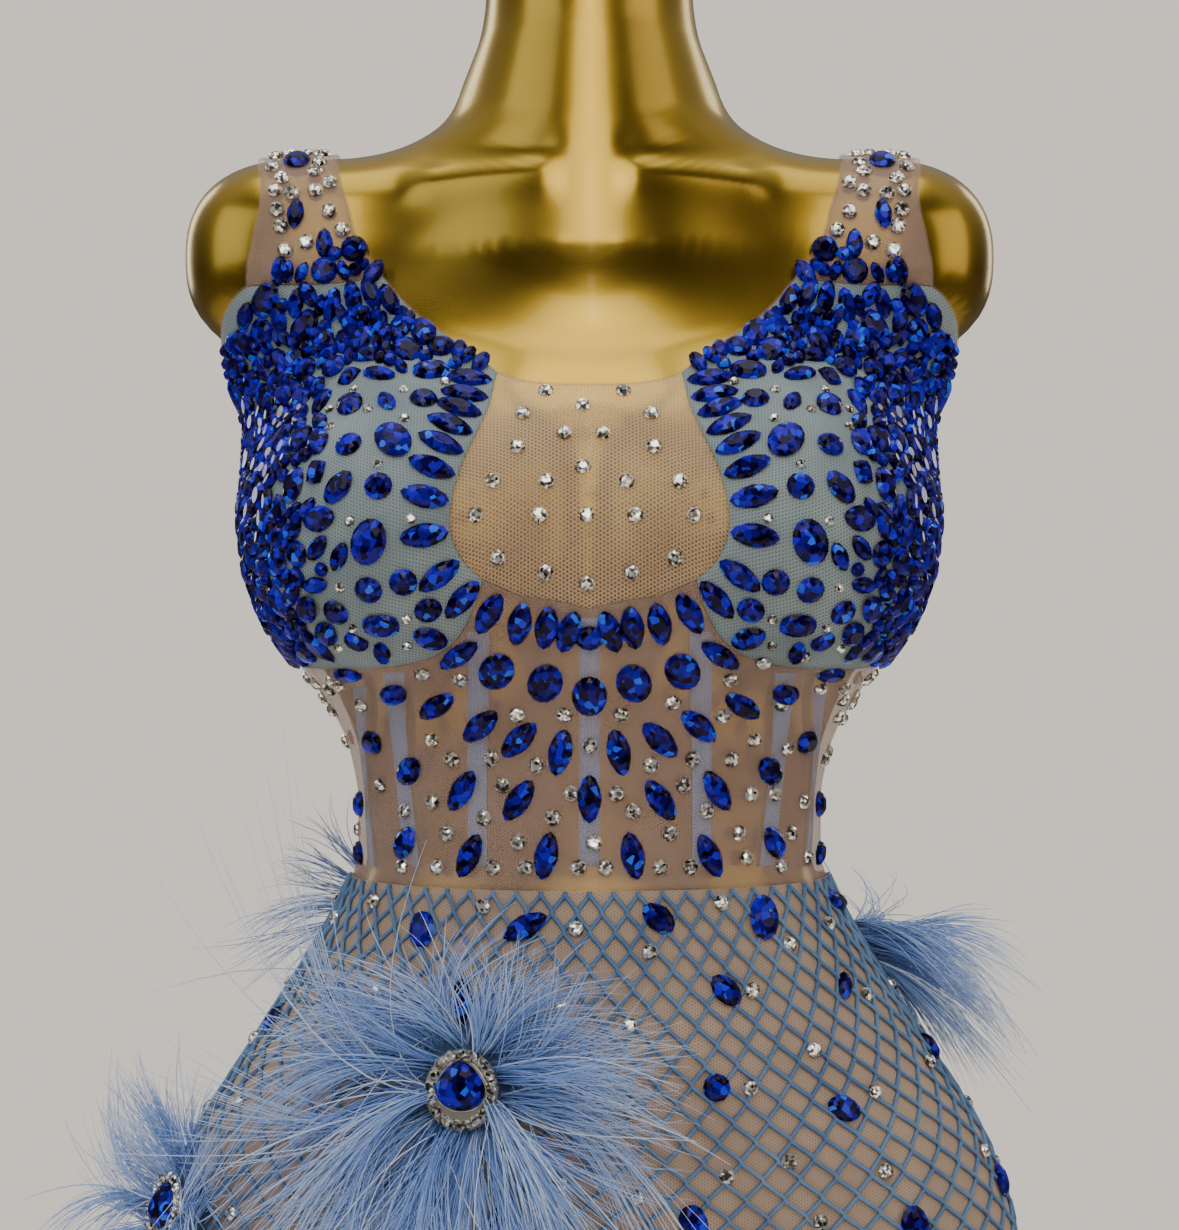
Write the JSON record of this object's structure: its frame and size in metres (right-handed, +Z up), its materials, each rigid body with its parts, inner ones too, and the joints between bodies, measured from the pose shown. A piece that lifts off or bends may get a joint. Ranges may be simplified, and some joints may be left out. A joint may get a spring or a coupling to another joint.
{
  "type": "feather dress on a limbless dress form",
  "caption": "Sleeveless close-fitting stage dress with raised stones, boning bands and feather puffs, standing on a smooth limbless dress form.",
  "frame": {"origin": "centre of the dress form's flat underside", "axes": "+Z up through the neck, the front of the dress faces -Y, +X to the viewer's right"},
  "size_m": [0.4479, 0.2835, 0.93],
  "materials": {
    "gold": "polished gold chrome",
    "nude_mesh": "sheer nude stretch mesh",
    "grey_mesh": "blue-grey stretch mesh",
    "net": "nude mesh under blue fishnet",
    "band": "satin boning channel",
    "feather": "ostrich feather",
    "jewel": "faceted stone in a ring of crystals"
  },
  "bodies": {
    "root": {"dress_form": "gold", "strap_left": "nude_mesh", "strap_right": "nude_mesh", "cup_left": "grey_mesh", "cup_right": "grey_mesh", "bib": "nude_mesh", "midriff": "nude_mesh", "back": "nude_mesh", "skirt_front": "net", "skirt_back": "net", "band_centre": "band", "band_inner_left": "band", "band_inner_right": "band", "band_outer_left": "band", "band_outer_right": "band", "band_side_left": "band", "band_side_right": "band", "feather_puff_front": "feather", "feather_puff_left": "feather", "feather_puff_right": "feather", "feather_puff_back": "feather", "jewel_front": "jewel", "jewel_left": "jewel"}
  },
  "joints": []
}
